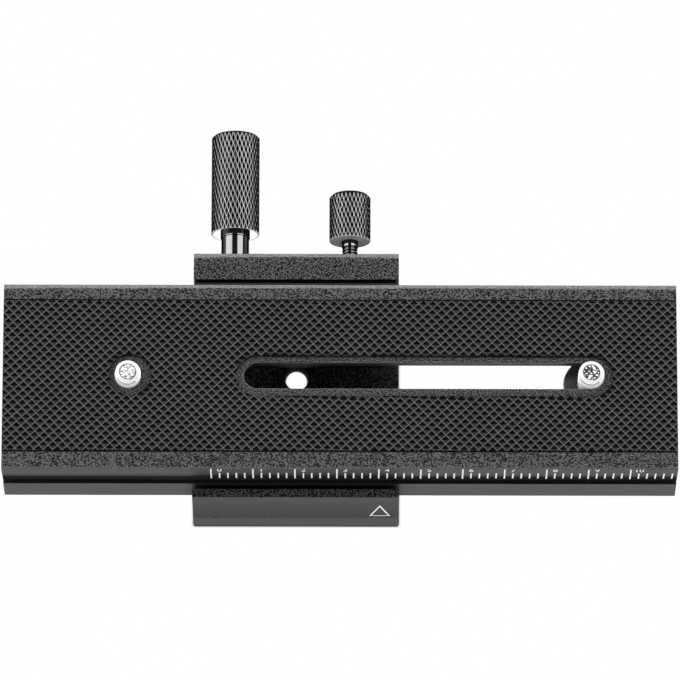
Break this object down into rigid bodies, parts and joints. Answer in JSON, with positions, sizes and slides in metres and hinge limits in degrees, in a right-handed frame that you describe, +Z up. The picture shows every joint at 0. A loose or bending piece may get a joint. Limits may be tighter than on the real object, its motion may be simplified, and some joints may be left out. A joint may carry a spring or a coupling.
{
  "type": "macro focus rail",
  "caption": "Rack and pinion focus rail: a long slotted camera bar with rubber pad and millimetre scale slides in a short base with a focus knob and a lock knob.",
  "frame": {"origin": "centre of the quarter-inch tripod socket on the underside of the base", "axes": "+X along the rail towards the high end of its scale, +Y towards the knobs, +Z up"},
  "size_m": [0.16, 0.0953, 0.0388],
  "materials": {
    "black_anodised": "black anodised, finely blasted",
    "pad_rubber": "moulded diamond points, matt",
    "bare_steel": "machined, oiled",
    "bare_aluminium": "sawn and blasted",
    "bronze": "turned bearing bronze",
    "nylon": "black, smooth",
    "black_steel": "black oxide, polished",
    "knurled_aluminium": "diamond knurl, black anodised",
    "bright_steel": "bright nickel plated"
  },
  "bodies": {
    "base": {"base_block": "black_anodised", "outer_bushing": "bronze"},
    "rail": {"rail_bar": "black_anodised", "rubber_pad": "pad_rubber", "rack": "bare_steel", "rack_screws": "bare_steel", "stop_pins": "bare_steel"},
    "focus": {"focus_shaft": "black_steel", "pinion": "bare_steel", "inner_thrust_washer": "nylon", "outer_thrust_washer": "nylon", "shaft_clip": "black_steel", "focus_knob": "knurled_aluminium", "knob_grub_screw": "black_steel"},
    "gib": {"gib_plate": "bare_aluminium"},
    "lock": {"lock_screw": "black_steel", "lock_knob": "knurled_aluminium"},
    "left_washer": {"left_screw_washer": "nylon"},
    "left_screw": {"left_camera_screw": "bright_steel"},
    "right_washer": {"right_screw_washer": "nylon"},
    "right_screw": {"right_camera_screw": "bright_steel"}
  },
  "joints": [
    {"name": "rail_slide", "type": "slide", "parent": "base", "child": "rail", "axis": [1, 0, 0], "range_m": [-0.0603, 0.0393]},
    {"name": "focus_turn", "type": "hinge", "parent": "base", "child": "focus", "pos_m": [-0.01488, 0, 0.01055], "axis": [0, 1, 0], "range_deg": [-721, 471]},
    {"name": "gib_slide", "type": "slide", "parent": "base", "child": "gib", "axis": [0, -1, 0], "range_m": [-0.00024, 0.00018]},
    {"name": "lock_turn", "type": "hinge", "parent": "gib", "child": "lock", "pos_m": [0.01285, 0.02, 0.0193], "axis": [0, -1, 0], "range_deg": [-123.5, 92.7]},
    {"name": "left_screw_lift", "type": "slide", "parent": "rail", "child": "left_washer", "axis": [0, 0, 1], "range_m": [0, 0.0037]},
    {"name": "left_screw_turn", "type": "hinge", "parent": "left_washer", "child": "left_screw", "pos_m": [-0.0398, -0.00955, 0.03], "axis": [0, 0, 1], "continuous": true},
    {"name": "right_screw_slide", "type": "slide", "parent": "rail", "child": "right_washer", "axis": [1, 0, 0], "range_m": [-0.0792, 0]},
    {"name": "right_screw_turn", "type": "hinge", "parent": "right_washer", "child": "right_screw", "pos_m": [0.0701, -0.00955, 0.03], "axis": [0, 0, 1], "continuous": true}
  ],
  "couplings": [
    {"joint": "focus_turn", "follows": "rail_slide", "rad_per_m": 208.33},
    {"joint": "lock_turn", "follows": "gib_slide", "rad_per_m": 8976}
  ]
}
